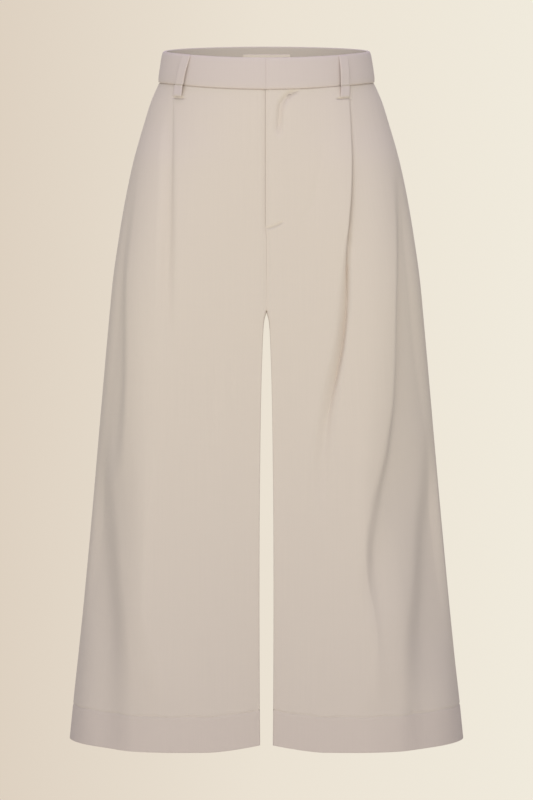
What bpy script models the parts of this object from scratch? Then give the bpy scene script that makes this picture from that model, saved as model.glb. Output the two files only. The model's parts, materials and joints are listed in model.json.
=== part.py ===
"""Wide-leg culottes with a pleat in each front, filled out as if worn and hanging from the waist.

Metres, +Z up. The front faces -Y and +X is the wearer's left. The origin is on the axis of the
body, at the side of the waistband's mid-height. Every piece is worked out on one surface: a point
of it is named by x, by a level (its height at the side seam) and by its distance out of the cloth.
"""

import math

import bpy
from mathutils import Vector

# ---- cloth, in metres
CLOTH = 0.0011  # wall of a leg panel
HEM_CLOTH = 0.0010  # the layer turned up inside the hem
BAND_CLOTH = 0.0030  # waistband, folded over its interfacing
LOOP_CLOTH = 0.0018  # belt loop, folded in three
THIN_CLOTH = 0.0010  # label and fly shield
LAID_GAP = 0.0003  # between a piece and what it lies on
CENTRE_GAP = 0.0005  # between left and right at the middle of the cloth; narrower inside
SIDE_GAP = 0.0009  # between front and back at the outer face; narrower inside

# ---- levels, measured at the side seam
BAND_TOP = 0.020
WAIST_SEAM = -0.018
PANEL_TOP = -0.0189
FLY_END = -0.196
CROTCH = -0.297
HEM_TURN = -0.778
HEM = -0.820

# ---- how the one oval of the waist parts into two legs
LOBES_FROM = -0.05
LOBES_FULL = -0.30
LEG_CENTRE = 0.45  # where a leg is deepest, as a share of the half width
JOIN_SLOPE = 0.60  # above the crotch the legs run into each other: slope at the crotch
JOIN_FRONT = 60.0  # and growth with the square of the height, per metre
JOIN_BACK = 30.0

# Outer face of the waistband. Columns: level, half width, depth in front, depth behind.
BAND_SECTIONS = (
    (0.0200, 0.1258, 0.0975, 0.0990),
    (-0.0180, 0.1315, 0.1013, 0.1042),
)
# Outer face of the panels. Columns: level, half width, depth in front, depth behind.
PANEL_SECTIONS = (
    (-0.0189, 0.1308, 0.1008, 0.1038),
    (-0.0400, 0.1400, 0.1050, 0.1120),
    (-0.0640, 0.1476, 0.1085, 0.1205),
    (-0.1130, 0.1614, 0.1135, 0.1335),
    (-0.1620, 0.1717, 0.1165, 0.1420),
    (-0.2110, 0.1798, 0.1185, 0.1450),
    (-0.2600, 0.1867, 0.1195, 0.1430),
    (-0.3080, 0.1915, 0.1200, 0.1375),
    (-0.4060, 0.2008, 0.1195, 0.1270),
    (-0.5520, 0.2143, 0.1190, 0.1195),
    (-0.6980, 0.2284, 0.1195, 0.1185),
    (-0.8200, 0.2408, 0.1200, 0.1190),
)
BACK, FRONT_LEFT, FRONT_RIGHT = 0, 1, 2

# How the cloth turns back towards the side seams. Columns: level, exponent of the body's oval (2 is
# an ellipse, more is squarer), and on a leg the share of the way out where the turn starts and the
# exponents of its start and of its end.
UPPER_SHAPE = (
    (0.0200, 2.00, 0.00, 2.00, 2.00),
    (-0.0200, 2.00, 0.00, 2.00, 2.00),
    (-0.0600, 2.20, 0.00, 2.20, 2.20),
    (-0.1200, 2.70, 0.00, 2.70, 2.70),
)
HEM_SHAPE = (
    (-0.7800, 2.80, 0.00, 1.85, 1.85),
    (-0.8200, 2.80, 0.00, 1.85, 1.85),
)
OUTER_SHAPES = {
    BACK: UPPER_SHAPE + (
        (-0.2200, 2.80, 0.00, 2.60, 2.60),
        (-0.4400, 2.80, 0.10, 2.10, 1.90),
        (-0.6500, 2.80, 0.10, 1.90, 1.70),
    ) + HEM_SHAPE,
    FRONT_LEFT: UPPER_SHAPE + (
        (-0.2200, 2.80, 0.00, 2.70, 2.70),
        (-0.3400, 2.80, 0.15, 2.20, 1.90),
        (-0.4400, 2.80, 0.25, 1.60, 1.40),
        (-0.5300, 2.80, 0.25, 1.25, 1.15),
        (-0.6000, 2.80, 0.28, 1.35, 1.20),
        (-0.6800, 2.80, 0.36, 1.40, 1.25),
        (-0.7200, 2.80, 0.30, 1.50, 1.35),
    ) + HEM_SHAPE,
    FRONT_RIGHT: UPPER_SHAPE + (
        (-0.2200, 2.80, 0.00, 2.90, 2.90),
        (-0.3400, 2.80, 0.15, 2.70, 2.40),
        (-0.4400, 2.80, 0.28, 2.20, 1.70),
        (-0.5300, 2.80, 0.38, 1.60, 1.40),
        (-0.6500, 2.80, 0.36, 1.50, 1.35),
        (-0.7200, 2.80, 0.18, 1.80, 1.55),
    ) + HEM_SHAPE,
}
# How the waist dips in front and rises behind. Columns: level, drop in front for each metre of
# depth, the same with the square of the share of the depth, rise behind for each metre of depth.
WAIST_DIP = (
    (0.0200, 0.090, 0.060, 0.133),
    (-0.0180, 0.055, 0.084, 0.133),
    (-0.0700, 0.050, 0.070, 0.112),
    (-0.1200, 0.030, 0.042, 0.066),
    (-0.1700, 0.009, 0.013, 0.021),
    (-0.2200, 0.000, 0.000, 0.000),
)
# Inner side of a leg. Columns: level, x of its edge, exponent of its corner, and how far the
# front and back round off towards it, from 0 to 1.
LEG_INNER = (
    (-0.2970, CENTRE_GAP / 2, 18.0, 0.00),
    (-0.3080, 0.0028, 20.0, 0.10),
    (-0.3330, 0.0044, 24.0, 0.20),
    (-0.4060, 0.0065, 24.0, 0.25),
    (-0.4600, 0.0073, 24.0, 0.28),
    (-0.5600, 0.0082, 24.0, 0.30),
    (-0.6400, 0.0083, 24.0, 0.35),
    (-0.7500, 0.0080, 24.0, 0.42),
    (-0.8200, 0.0074, 24.0, 0.45),
)
CROWN_ROUND = 2.1

# How far the hem hangs higher at the side seam and at the inseam, and how far in that reaches.
HEM_LIFT_SIDE = 0.0026
HEM_LIFT_SIDE_REACH = 0.085
HEM_LIFT_INNER = 0.0075
HEM_LIFT_INNER_REACH = 0.060
HEM_LIFT_FROM = -0.60

# One knife pleat in each front, folded towards the side. Columns: level, x of the folded edge,
# degrees that the cloth turns back through, width of the layer under it, height of the step.
PLEAT_LEFT = (
    (-0.0189, 0.0985, 180, 0.0150, 0.0034),
    (-0.0700, 0.1011, 180, 0.0125, 0.0052),
    (-0.1080, 0.1025, 180, 0.0100, 0.0060),
    (-0.1475, 0.1019, 174, 0.0080, 0.0068),
    (-0.1860, 0.0994, 160, 0.0050, 0.0072),
    (-0.2230, 0.0957, 120, 0.0012, 0.0056),
    (-0.2590, 0.0932, 85, 0.0004, 0.0040),
    (-0.3000, 0.0905, 50, 0.0000, 0.0026),
    (-0.3600, 0.0815, 26, 0.0000, 0.0014),
    (-0.4720, 0.0626, 10, 0.0000, 0.0005),
    (-0.8200, 0.0600, 4, 0.0000, 0.0003),
)
PLEAT_RIGHT = (
    (-0.0189, 0.1104, 60, 0.0000, 0.0016),
    (-0.1300, 0.1104, 50, 0.0000, 0.0014),
    (-0.2110, 0.1106, 34, 0.0000, 0.0012),
    (-0.2600, 0.1160, 18, 0.0000, 0.0008),
    (-0.3000, 0.1180, 6, 0.0000, 0.0003),
    (-0.8200, 0.1180, 4, 0.0000, 0.0003),
)
PLEAT_REACH = 0.045  # how far the pleat's step takes to level out on each side

SIDE_FREE = 0.010  # folds fade out this near the side seam

# Folds, as troughs that run down a panel; a depth below 0 is a ridge.
# Columns: level, x, reach towards the centre, reach towards the side, depth.
FOLDS_FRONT_LEFT = (
    (
        (-0.196, 0.0984, 0.003, 0.005, 0.0000),
        (-0.223, 0.0957, 0.005, 0.006, 0.0040),
        (-0.259, 0.0932, 0.009, 0.009, 0.0048),
        (-0.294, 0.0909, 0.013, 0.013, 0.0042),
        (-0.330, 0.0873, 0.014, 0.014, 0.0032),
        (-0.365, 0.0803, 0.014, 0.015, 0.0026),
        (-0.401, 0.0745, 0.014, 0.015, 0.0021),
        (-0.472, 0.0626, 0.013, 0.016, 0.0012),
        (-0.540, 0.0600, 0.012, 0.016, 0.0000),
    ),
    (
        (-0.120, 0.158, 0.008, 0.014, 0.0000),
        (-0.161, 0.161, 0.008, 0.020, 0.0026),
        (-0.222, 0.165, 0.009, 0.028, 0.0080),
        (-0.283, 0.166, 0.010, 0.034, 0.0115),
        (-0.344, 0.166, 0.011, 0.038, 0.0130),
        (-0.405, 0.164, 0.012, 0.040, 0.0125),
        (-0.437, 0.160, 0.013, 0.040, 0.0110),
        (-0.466, 0.156, 0.014, 0.040, 0.0095),
        (-0.496, 0.149, 0.015, 0.038, 0.0080),
        (-0.527, 0.142, 0.015, 0.036, 0.0065),
        (-0.588, 0.133, 0.016, 0.034, 0.0045),
        (-0.649, 0.133, 0.016, 0.030, 0.0030),
        (-0.710, 0.140, 0.018, 0.026, 0.0012),
        (-0.760, 0.146, 0.018, 0.024, 0.0000),
    ),
    (
        (-0.430, 0.205, 0.010, 0.014, 0.0000),
        (-0.499, 0.202, 0.014, 0.022, 0.0050),
        (-0.558, 0.196, 0.016, 0.030, 0.0075),
        (-0.618, 0.195, 0.018, 0.034, 0.0080),
        (-0.677, 0.188, 0.018, 0.034, 0.0065),
        (-0.736, 0.185, 0.018, 0.030, 0.0030),
        (-0.820, 0.182, 0.020, 0.026, 0.0008),
    ),
)
FOLDS_FRONT_RIGHT = (
    (
        (-0.120, 0.160, 0.008, 0.010, 0.0000),
        (-0.198, 0.171, 0.012, 0.012, 0.0026),
        (-0.258, 0.178, 0.013, 0.018, 0.0052),
        (-0.378, 0.181, 0.016, 0.024, 0.0064),
        (-0.438, 0.184, 0.016, 0.024, 0.0046),
        (-0.500, 0.188, 0.016, 0.020, 0.0000),
    ),
    (
        (-0.430, 0.206, 0.012, 0.012, 0.0000),
        (-0.499, 0.204, 0.016, 0.020, 0.0045),
        (-0.558, 0.199, 0.017, 0.028, 0.0065),
        (-0.618, 0.198, 0.018, 0.032, 0.0075),
        (-0.677, 0.190, 0.020, 0.034, 0.0065),
        (-0.736, 0.186, 0.020, 0.030, 0.0032),
        (-0.820, 0.182, 0.020, 0.026, 0.0008),
    ),
)
FOLDS_BACK_LEFT = (
    (
        (-0.250, 0.112, 0.026, 0.026, 0.0000),
        (-0.380, 0.116, 0.034, 0.034, 0.0070),
        (-0.560, 0.124, 0.040, 0.040, 0.0110),
        (-0.720, 0.133, 0.042, 0.042, 0.0100),
        (-0.820, 0.137, 0.042, 0.042, 0.0070),
    ),
    (
        (-0.330, 0.186, 0.016, 0.016, 0.0000),
        (-0.480, 0.190, 0.020, 0.020, 0.0070),
        (-0.650, 0.198, 0.024, 0.024, 0.0060),
        (-0.820, 0.206, 0.024, 0.024, 0.0020),
    ),
)
FOLDS_BACK_RIGHT = (
    (
        (-0.280, 0.096, 0.026, 0.026, 0.0000),
        (-0.420, 0.101, 0.034, 0.034, 0.0080),
        (-0.600, 0.110, 0.040, 0.040, 0.0120),
        (-0.740, 0.118, 0.042, 0.042, 0.0090),
        (-0.820, 0.121, 0.042, 0.042, 0.0060),
    ),
    (
        (-0.360, 0.184, 0.016, 0.016, 0.0000),
        (-0.500, 0.187, 0.022, 0.022, 0.0080),
        (-0.680, 0.194, 0.024, 0.024, 0.0060),
        (-0.820, 0.199, 0.024, 0.024, 0.0020),
    ),
)

# ---- waistband, loops, label and fly shield
LOOP_WIDTH = 0.0115
LOOP_TOP = 0.0192
LOOP_END = -0.0325
LOOP_BOW = 0.0014  # slack left for the belt
BAND_STEP = 0.0011  # how far the waistband stands out from the panels at the waist seam
# Columns: name, side of the body, x at the top, x at the end, which face
LOOPS = (
    ("belt_loop_front_left", 1, 0.0935, 0.0945, FRONT_LEFT),
    ("belt_loop_front_right", -1, 0.0975, 0.1055, FRONT_LEFT),
    ("belt_loop_back_left", 1, 0.0780, 0.0800, BACK),
    ("belt_loop_back_right", -1, 0.0780, 0.0800, BACK),
    ("belt_loop_centre_back", 1, 0.0000, 0.0000, BACK),
)
LABEL_HALF_WIDTH = 0.030
LABEL_TOP = 0.0105
LABEL_END = -0.0150
SHIELD_COLUMNS_LEFT = 3  # columns of the front that the fly shield lies behind
SHIELD_COLUMNS_RIGHT = 1

# ---- how finely the faceted cloth is cut
FLY_ROWS = 6  # from the waist seam to the end of the fly
CROTCH_ROWS = 6  # down the curve of the crotch seam
CROTCH_HEIGHT = 0.085
LEG_ROWS = 10  # from the crotch to the turn of the hem
INNER_COLUMNS = 7  # from the inner seam to the pleat
OUTER_COLUMNS = 7  # from the pleat to the side seam
BEND_STEPS = 4  # in each of the pleat's two bends
BAND_COLUMNS = 11
LOOP_ROWS = 9
LEG_ROW_SPREAD = 1.4  # leg rows lie closer together near the crotch
EVEN_ABOVE = -0.10  # above this level the inner columns are evenly spread

SLOPE_ACROSS = 0.0015  # steps over which the cloth's slope is taken
SLOPE_DOWN = 0.00001
SHARP_ANGLE = math.radians(50)


# ---------------------------------------------------------------- reading the tables


def smooth(value, start, end):
    """0 before start, 1 after end, and an even S between them."""
    t = min(1.0, max(0.0, (value - start) / (end - start)))
    return t * t * (3 - 2 * t)


def table_slopes(downs, values):
    """The slope at each row, flat where the values turn, so that the curve never overshoots."""
    steps = [
        (values[i + 1] - values[i]) / (downs[i + 1] - downs[i]) for i in range(len(downs) - 1)
    ]
    middle = [2 * a * b / (a + b) if a * b > 0 else 0.0 for a, b in zip(steps, steps[1:])]
    return [steps[0]] + middle + [steps[-1]]


def read(table, column, level):
    """A column of a table at any level, on a smooth curve through its rows."""
    downs = [-row[0] for row in table]
    values = [row[column] for row in table]
    down = min(max(-level, downs[0]), downs[-1])
    i = max(k for k in range(len(downs) - 1) if downs[k] <= down)
    width = downs[i + 1] - downs[i]
    t = (down - downs[i]) / width
    slopes = table_slopes(downs, values)
    return (
        (1 + 2 * t) * (1 - t) ** 2 * values[i]
        + t * (1 - t) ** 2 * width * slopes[i]
        + t * t * (3 - 2 * t) * values[i + 1]
        + t * t * (t - 1) * width * slopes[i + 1]
    )


# ---------------------------------------------------------------- the surface of the cloth


def section(column, level):
    return read(BAND_SECTIONS if level >= WAIST_SEAM else PANEL_SECTIONS, column, level)


def inner_edge(level):
    """x of the centre seam, and below the crotch of the inseam."""
    return read(LEG_INNER, 1, level)


def leg_edge(level, front):
    """x where a leg's outline would end: past the middle above the crotch, where the legs join."""
    up = max(0.0, level - CROTCH)
    return inner_edge(level) - up * (JOIN_SLOPE + (JOIN_FRONT if front else JOIN_BACK) * up)


def rounded(share, exponent):
    """A quarter of a superellipse: 1 at share 0 and 0 at share 1."""
    return (1 - min(1.0, max(0.0, share)) ** exponent) ** (1 / exponent)


def depth(x, level, front):
    """How far the outer face is in front of the side seams, or behind them."""
    half = section(1, level)
    centre = LEG_CENTRE * half
    lobes = 1 - smooth(level, LOBES_FULL, LOBES_FROM)
    body, start, first, last = (read(OUTER_SHAPES[front], column, level) for column in (1, 2, 3, 4))
    turned = min(1.0, max(0.0, ((x - centre) / (half - centre) - start) / (1 - start)))
    outer = (1 - lobes) * rounded(x / half, body) + lobes * (1 - turned**first) ** (1 / last)
    share = (centre - x) / (centre - leg_edge(level, front))
    inner = rounded(share, read(LEG_INNER, 2, level))
    inner *= rounded(share * read(LEG_INNER, 3, level), CROWN_ROUND)
    return section(2 if front else 3, level) * outer * inner


def bare_point(x, level, front):
    """A point of the outer face before its folds, for x of 0 or more."""
    deep = depth(x, level, front)
    if front:
        y = -deep - SIDE_GAP / 2
        dip = read(WAIST_DIP, 1, level) + read(WAIST_DIP, 2, level) * deep / section(2, level)
    else:
        y = deep + SIDE_GAP / 2
        dip = -read(WAIST_DIP, 3, level)
    from_inseam = min(1.0, max(0.0, (x - inner_edge(level)) / HEM_LIFT_INNER_REACH))
    lift = HEM_LIFT_SIDE * (1 - smooth(section(1, level) - x, 0, HEM_LIFT_SIDE_REACH))
    lift += HEM_LIFT_INNER * (1 - from_inseam) ** 1.5
    lift *= smooth(-level, -HEM_LIFT_FROM, -HEM_TURN)
    return Vector((x, y, level - dip * deep + lift))


def outward(x, level, front):
    """The direction out of the cloth, from its slope along the level and along its columns.

    The slope down a column is taken just below the level, and on a last row just above it.
    """
    inner, half = inner_edge(level), section(1, level)
    low = bare_point(max(x - SLOPE_ACROSS, inner), level, front)
    high = bare_point(min(x + SLOPE_ACROSS, half), level, front)
    share = (x - inner) / (half - inner)
    last_row = level in (WAIST_SEAM, HEM)
    near = level + SLOPE_DOWN * (1 if last_row else -1)
    near_x = inner_edge(near) + share * (section(1, near) - inner_edge(near))
    down = bare_point(near_x, near, front) - bare_point(x, level, front)
    if last_row:
        down = -down
    way = down.cross(high - low) if front else (high - low).cross(down)
    return way.normalized()


def trough(x, level, folds):
    """How far a panel's folds take the cloth in."""
    total = 0.0
    for fold in folds:
        if fold[-1][0] <= level <= fold[0][0]:
            away = x - read(fold, 1, level)
            reach = read(fold, 2 if away < 0 else 3, level)
            total += read(fold, 4, level) * (1 - smooth(abs(away) / reach, 0, 1))
    return total * smooth(section(1, level) - x, 0, SIDE_FREE)


def cloth_point(x, level, out, front, side=1, folds=()):
    """A point at a distance out of the bare face, on the wearer's left (1) or right (-1)."""
    x = min(max(x, inner_edge(level)), section(1, level))
    point = bare_point(x, level, front)
    point += outward(x, level, front) * (out - trough(x, level, folds))
    return Vector((side * point.x, point.y, point.z))


def mirrored(row):
    return [Vector((-point.x, point.y, point.z)) for point in row]


# ---------------------------------------------------------------- making pieces


def make_material(name, colour, roughness):
    material = bpy.data.materials.new(name)
    material.use_nodes = True
    shader = material.node_tree.nodes["Principled BSDF"]
    shader.inputs["Base Color"].default_value = (*colour, 1)
    shader.inputs["Roughness"].default_value = roughness
    shader.inputs["Metallic"].default_value = 0
    return material


def make_cloth(name, rows, thickness, material):
    """A sheet through rows of points, thickened evenly to both sides.

    Triangles, and not squares, keep both faces alike where the sheet is twisted.
    """
    count = len(rows[0])
    verts = [tuple(point) for row in rows for point in row]
    faces = []
    for r in range(len(rows) - 1):
        for c in range(count - 1):
            here = r * count + c
            below = here + count
            faces.append((here, below, below + 1))
            faces.append((here, below + 1, here + 1))
    mesh = bpy.data.meshes.new(name)
    mesh.from_pydata(verts, [], faces)
    mesh.materials.append(material)
    mesh.shade_smooth()
    mesh.set_sharp_from_angle(angle=SHARP_ANGLE)
    piece = bpy.data.objects.new(name, mesh)
    collection.objects.link(piece)
    thicken = piece.modifiers.new("thickness", "SOLIDIFY")
    thicken.thickness = thickness
    thicken.offset = 0


# ---------------------------------------------------------------- leg panels


def panel_levels():
    """Even rows down the fly, close rows round the crotch seam, longer ones down the leg."""
    fly = [PANEL_TOP + (FLY_END - PANEL_TOP) * i / FLY_ROWS for i in range(FLY_ROWS + 1)]
    quarter = [math.pi / 2 * (1 - i / CROTCH_ROWS) for i in range(CROTCH_ROWS + 1)]
    crotch = [CROTCH + CROTCH_HEIGHT * (1 - math.cos(angle)) for angle in quarter]
    shares = [(i / LEG_ROWS) ** LEG_ROW_SPREAD for i in range(1, LEG_ROWS + 1)]
    return fly + crotch + [CROTCH + (HEM_TURN - CROTCH) * share for share in shares] + [HEM]


def pleat_nodes(pleat, level):
    """(x, out) through the pleat: a bend back, the layer under the fold, and a bend forward."""
    edge, degrees, under, step = (read(pleat, column, level) for column in (1, 2, 3, 4))
    turn = math.radians(degrees)
    radius = (step - under * math.sin(turn)) / (2 * (1 - math.cos(turn)))
    start = edge - radius * math.sin(min(turn, math.pi / 2))
    angles = [turn * i / BEND_STEPS for i in range(BEND_STEPS + 1)]
    back = [(start + radius * math.sin(a), step / 2 - radius * (1 - math.cos(a))) for a in angles]
    x = back[-1][0] + under * math.cos(turn) + radius * math.sin(turn)
    forward = [
        (x - radius * math.sin(a), radius * (1 - math.cos(a)) - step / 2) for a in angles[::-1]
    ]
    return back + forward


def inner_columns(level, end):
    """x from the centre seam or inseam out to a column, crowded inwards on the legs."""
    start = inner_edge(level)
    crowded = 1 - smooth(level, CROTCH, EVEN_ABOVE)
    shares = [i / INNER_COLUMNS for i in range(INNER_COLUMNS)]
    eased = [t + crowded * (1 - math.cos(t * math.pi / 2) - t) for t in shares]
    return [start + (end - start) * share for share in eased]


def outer_columns(level, start):
    """x from a column out to the side seam, crowded outwards."""
    steps = range(1, OUTER_COLUMNS + 1)
    end = section(1, level)
    return [start + (end - start) * math.sin(i / OUTER_COLUMNS * math.pi / 2) for i in steps]


def front_nodes(level, pleat):
    """(x, out) across a front, from its inner seam to its side seam."""
    path = pleat_nodes(pleat, level)
    (start, raised), (end, lowered) = path[0], path[-1]
    inner = [
        (x, raised * (1 - smooth(start - x, 0, PLEAT_REACH))) for x in inner_columns(level, start)
    ]
    outer = [
        (x, lowered * (1 - smooth(x - end, 0, PLEAT_REACH))) for x in outer_columns(level, end)
    ]
    return inner + path + outer


def back_nodes(level):
    centre = LEG_CENTRE * section(1, level)
    xs = inner_columns(level, centre) + [centre] + outer_columns(level, centre)
    return [(x, 0.0) for x in xs]


# Columns: name, side of the body, which face, pleat, folds.
PANELS = (
    ("front_left", 1, FRONT_LEFT, PLEAT_LEFT, FOLDS_FRONT_LEFT),
    ("front_right", -1, FRONT_RIGHT, PLEAT_RIGHT, FOLDS_FRONT_RIGHT),
    ("back_left", 1, BACK, None, FOLDS_BACK_LEFT),
    ("back_right", -1, BACK, None, FOLDS_BACK_RIGHT),
)


def panel_row(panel, level, below):
    """Points across a panel, at a distance below its outer face."""
    _, side, front, pleat, folds = panel
    nodes = front_nodes(level, pleat) if front else back_nodes(level)
    return [cloth_point(x, level, out - below, front, side, folds) for x, out in nodes]


def make_panels(material):
    for panel in PANELS:
        rows = [panel_row(panel, level, CLOTH / 2) for level in panel_levels()]
        make_cloth(panel[0], rows, CLOTH, material)


def make_hems(material):
    """The end of each panel, turned up inside it."""
    below = CLOTH + LAID_GAP + HEM_CLOTH / 2
    for panel in PANELS:
        rows = [panel_row(panel, level, below) for level in (HEM_TURN, HEM)]
        make_cloth("hem_" + panel[0], rows, HEM_CLOTH, material)


def make_fly_shield(material):
    """The strip behind the fly, from the waist seam to the fly's end."""
    below = CLOTH + LAID_GAP + THIN_CLOTH / 2
    rows = []
    for level in panel_levels()[: FLY_ROWS + 1]:
        left = panel_row(PANELS[0], level, below)[: SHIELD_COLUMNS_LEFT + 1]
        right = panel_row(PANELS[1], level, below)[1 : SHIELD_COLUMNS_RIGHT + 1]
        left[0].x = 0
        rows.append(right[::-1] + left)
    make_cloth("fly_shield", rows, THIN_CLOTH, material)


# ---------------------------------------------------------------- waistband, label and loops


def band_row(level, front, below):
    """Points from the centre to the side seam, at a distance below the waistband's face."""
    inner, half = inner_edge(level), section(1, level)
    shares = [math.sin(i / BAND_COLUMNS * math.pi / 2) for i in range(BAND_COLUMNS + 1)]
    return [cloth_point(inner + (half - inner) * t, level, -below, front) for t in shares]


def across_centre(row):
    """One row from side to side out of its left half."""
    row[0].x = 0
    return mirrored(row)[::-1] + row[1:]


def make_waistband(material):
    levels = (BAND_TOP, (BAND_TOP + WAIST_SEAM) / 2, WAIST_SEAM)
    front = [band_row(level, FRONT_LEFT, BAND_CLOTH / 2) for level in levels]
    make_cloth("waistband_front_left", front, BAND_CLOTH, material)
    make_cloth("waistband_front_right", [mirrored(row) for row in front], BAND_CLOTH, material)
    back = [across_centre(band_row(level, BACK, BAND_CLOTH / 2)) for level in levels]
    make_cloth("waistband_back", back, BAND_CLOTH, material)


def make_label(material):
    """A blank label on the inside of the back waistband."""
    below = BAND_CLOTH + LAID_GAP + THIN_CLOTH / 2
    rows = []
    for level in (LABEL_TOP, LABEL_END):
        centre, first, second = band_row(level, BACK, below)[:3]
        share = (LABEL_HALF_WIDTH - first.x) / (second.x - first.x)
        rows.append(across_centre([centre, first, first.lerp(second, share)]))
    make_cloth("label", rows, THIN_CLOTH, material)


def loop_out(level, front):
    """How far out the middle of a belt loop runs: tacked at both ends and slack between."""
    resting = LAID_GAP + LOOP_CLOTH / 2
    if level < WAIST_SEAM:
        pleat_step = PLEAT_LEFT[0][4] / 2 if front else 0
        tacked = smooth(level, WAIST_SEAM, LOOP_END)
        resting += BAND_STEP + (pleat_step - BAND_STEP) * tacked
    share = (LOOP_TOP - level) / (LOOP_TOP - LOOP_END)
    return resting + LOOP_BOW * math.sin(math.pi * share) ** 2


def make_loops(material):
    for name, side, top_x, end_x, front in LOOPS:
        rows = []
        for i in range(LOOP_ROWS):
            share = i / (LOOP_ROWS - 1)
            level = LOOP_TOP + (LOOP_END - LOOP_TOP) * share
            x = top_x + (end_x - top_x) * share
            middle = cloth_point(x, level, loop_out(level, front), front, side)
            if x == 0:
                middle.x = 0
            near = cloth_point(x - LOOP_WIDTH / 2, level, 0, front, side)
            far = cloth_point(x + LOOP_WIDTH / 2, level, 0, front, side)
            along = (far - near).normalized() if x else Vector((1, 0, 0))
            rows.append([middle + along * LOOP_WIDTH * part for part in (-0.5, 0, 0.5)])
        make_cloth(name, rows, LOOP_CLOTH, material)


# ---------------------------------------------------------------- the garment

for old in list(bpy.data.objects):
    bpy.data.objects.remove(old)
collection = bpy.data.collections.new("culottes")
bpy.context.scene.collection.children.link(collection)

sand_cloth = make_material("sand_cloth", (0.65, 0.56, 0.48), 0.85)
label_cloth = make_material("label_cloth", (0.66, 0.57, 0.50), 0.7)

make_panels(sand_cloth)
make_hems(sand_cloth)
make_fly_shield(sand_cloth)
make_waistband(sand_cloth)
make_label(label_cloth)
make_loops(sand_cloth)
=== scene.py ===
"""The looks of a pair of wide-leg culottes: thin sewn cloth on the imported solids, in soft studio light.

Metres, +Z up. The front faces -Y and +X is the wearer's left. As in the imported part, a point of the
cloth is named by x, by a level (its height at the side seam) and by its distance out of the cloth.
"""

import json
import math

import bpy
import numpy as np
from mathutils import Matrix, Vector

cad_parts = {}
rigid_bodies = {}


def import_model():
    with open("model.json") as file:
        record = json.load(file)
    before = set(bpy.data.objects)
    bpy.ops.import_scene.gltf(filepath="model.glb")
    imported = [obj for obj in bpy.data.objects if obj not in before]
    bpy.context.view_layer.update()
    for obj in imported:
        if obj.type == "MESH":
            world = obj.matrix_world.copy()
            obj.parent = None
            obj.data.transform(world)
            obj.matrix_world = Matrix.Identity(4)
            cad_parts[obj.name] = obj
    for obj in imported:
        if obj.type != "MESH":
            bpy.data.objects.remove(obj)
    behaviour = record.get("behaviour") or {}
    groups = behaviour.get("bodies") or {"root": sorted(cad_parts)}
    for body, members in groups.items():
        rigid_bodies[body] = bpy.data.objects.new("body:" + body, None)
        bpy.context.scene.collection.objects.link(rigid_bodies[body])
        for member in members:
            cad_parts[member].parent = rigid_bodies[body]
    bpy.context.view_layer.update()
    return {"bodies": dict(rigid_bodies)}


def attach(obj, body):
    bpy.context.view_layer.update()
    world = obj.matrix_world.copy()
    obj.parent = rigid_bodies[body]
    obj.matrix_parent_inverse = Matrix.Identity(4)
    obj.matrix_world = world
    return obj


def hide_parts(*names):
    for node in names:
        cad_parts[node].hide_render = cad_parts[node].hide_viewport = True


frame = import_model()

(BODY,) = frame["bodies"]

# ---- cloth
SHELL = 0.00045  # one layer
BAND_CLOTH = 0.0030  # waistband, folded over its interfacing
LOOP_CLOTH = 0.0018  # belt loop, folded in three
LAID_GAP = 0.0003

# ---- levels, measured at the side seam
BAND_TOP = 0.020
WAIST_SEAM = -0.018
PANEL_TOP = -0.0182
FLY_END = -0.196
CROTCH = -0.297
HEM_TURN = -0.778
HEM = -0.820
HEM_BEND = 0.00065  # radius of the fold at the hem
TOP_TUCK = 0.0012  # how far the panels' top edge goes in under the waistband
TOP_TUCK_FROM = -0.0196

# ---- how the one oval of the waist parts into two legs
LOBES_FROM = -0.05
LOBES_FULL = -0.30
LEG_CENTRE = 0.45  # where a leg is deepest, as a share of the half width
JOIN_SLOPE = 0.60  # above the crotch the legs run into each other: slope at the crotch
JOIN_FRONT = 60.0  # and growth with the square of the height, per metre
JOIN_BACK = 30.0

# Outer face of the waistband. Columns: level, half width, depth in front, depth behind.
BAND_SECTIONS = (
    (0.0200, 0.1258, 0.0975, 0.0990),
    (-0.0180, 0.1315, 0.1013, 0.1042),
)
# Outer face of the panels. Columns: level, half width, depth in front, depth behind.
PANEL_SECTIONS = (
    (-0.0189, 0.1308, 0.1008, 0.1038),
    (-0.0400, 0.1400, 0.1050, 0.1120),
    (-0.0640, 0.1476, 0.1085, 0.1205),
    (-0.1130, 0.1614, 0.1135, 0.1335),
    (-0.1620, 0.1717, 0.1165, 0.1420),
    (-0.2110, 0.1798, 0.1185, 0.1450),
    (-0.2600, 0.1867, 0.1195, 0.1430),
    (-0.3080, 0.1915, 0.1200, 0.1375),
    (-0.4060, 0.2008, 0.1195, 0.1270),
    (-0.5520, 0.2143, 0.1190, 0.1195),
    (-0.6980, 0.2284, 0.1195, 0.1185),
    (-0.8200, 0.2408, 0.1200, 0.1190),
)
BACK, FRONT_LEFT, FRONT_RIGHT = 0, 1, 2

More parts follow.
